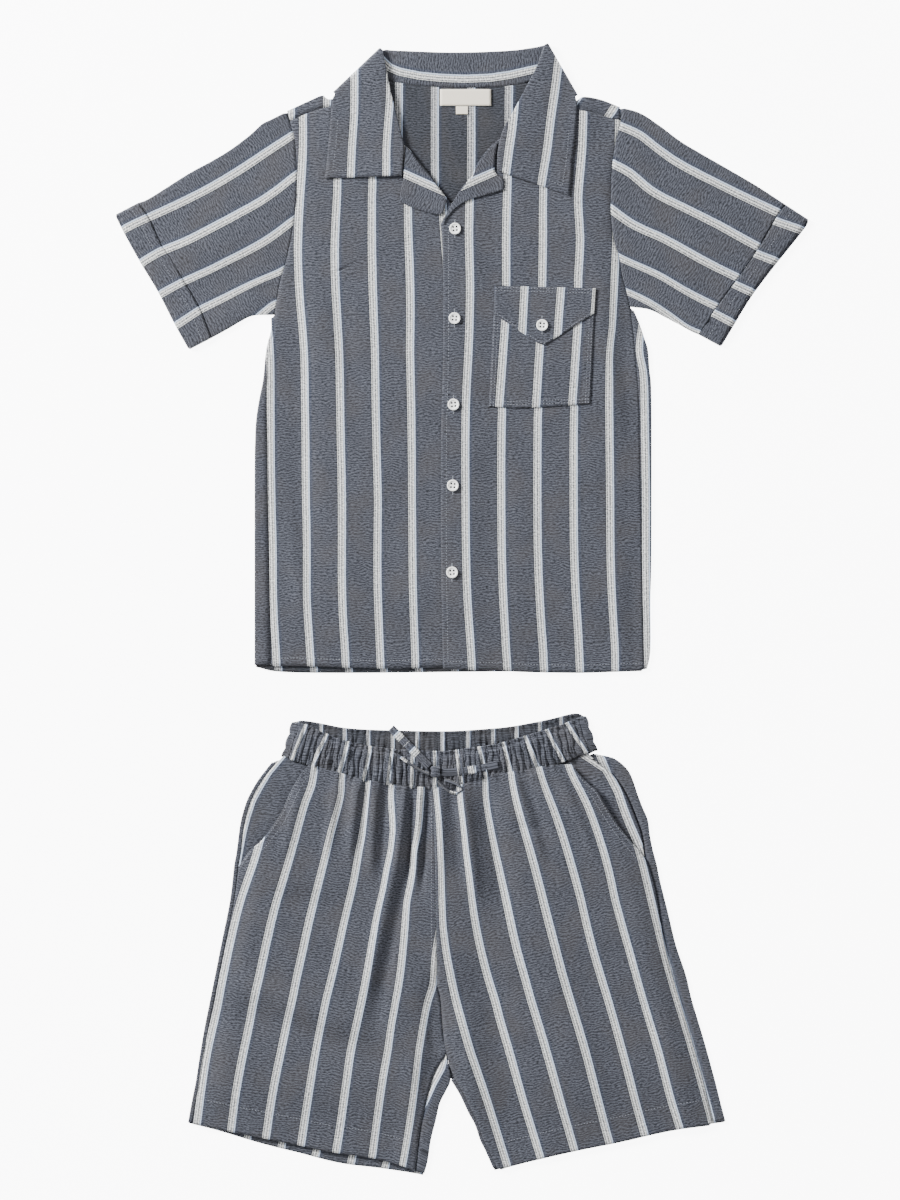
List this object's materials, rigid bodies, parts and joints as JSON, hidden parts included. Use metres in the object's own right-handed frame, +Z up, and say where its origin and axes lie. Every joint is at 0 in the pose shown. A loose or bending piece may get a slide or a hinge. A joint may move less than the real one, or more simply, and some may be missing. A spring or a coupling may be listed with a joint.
{
  "type": "child's shirt and shorts set laid flat",
  "caption": "Short-sleeved striped camp shirt with chest pocket, and matching drawstring shorts, both laid flat on a surface, shirt above shorts.",
  "frame": {"origin": "middle of the set's bounding box, on the surface it lies on", "axes": "+Z up out of the surface, +Y from the shorts towards the shirt's collar, +X towards the wearer's left side"},
  "size_m": [0.692, 1.1315, 0.0117],
  "materials": {
    "striped_chambray": "matt blue-grey cotton chambray, plain weave, with white warp stripes 36 mm apart",
    "button": "white moulded polyester, softly glossy",
    "label": "ivory woven tape, plain"
  },
  "bodies": {
    "root": {"shirt_back": "striped_chambray", "shirt_front_right": "striped_chambray", "shirt_front_left": "striped_chambray", "facing_right": "striped_chambray", "facing_left": "striped_chambray", "collar": "striped_chambray", "sleeve_right": "striped_chambray", "sleeve_left": "striped_chambray", "cuff_right": "striped_chambray", "cuff_left": "striped_chambray", "chest_pocket": "striped_chambray", "pocket_flap": "striped_chambray", "shorts_front_right": "striped_chambray", "shorts_front_left": "striped_chambray", "shorts_back_right": "striped_chambray", "shorts_back_left": "striped_chambray", "pocket_facing_right": "striped_chambray", "pocket_facing_left": "striped_chambray", "waistband": "striped_chambray", "tie_knot": "striped_chambray", "tie_loop_right": "striped_chambray", "tie_loop_left": "striped_chambray", "tie_end_right": "striped_chambray", "tie_end_left": "striped_chambray", "button_1": "button", "button_2": "button", "button_3": "button", "button_4": "button", "button_5": "button", "flap_button": "button", "neck_label": "label", "size_tab": "label"}
  },
  "joints": []
}
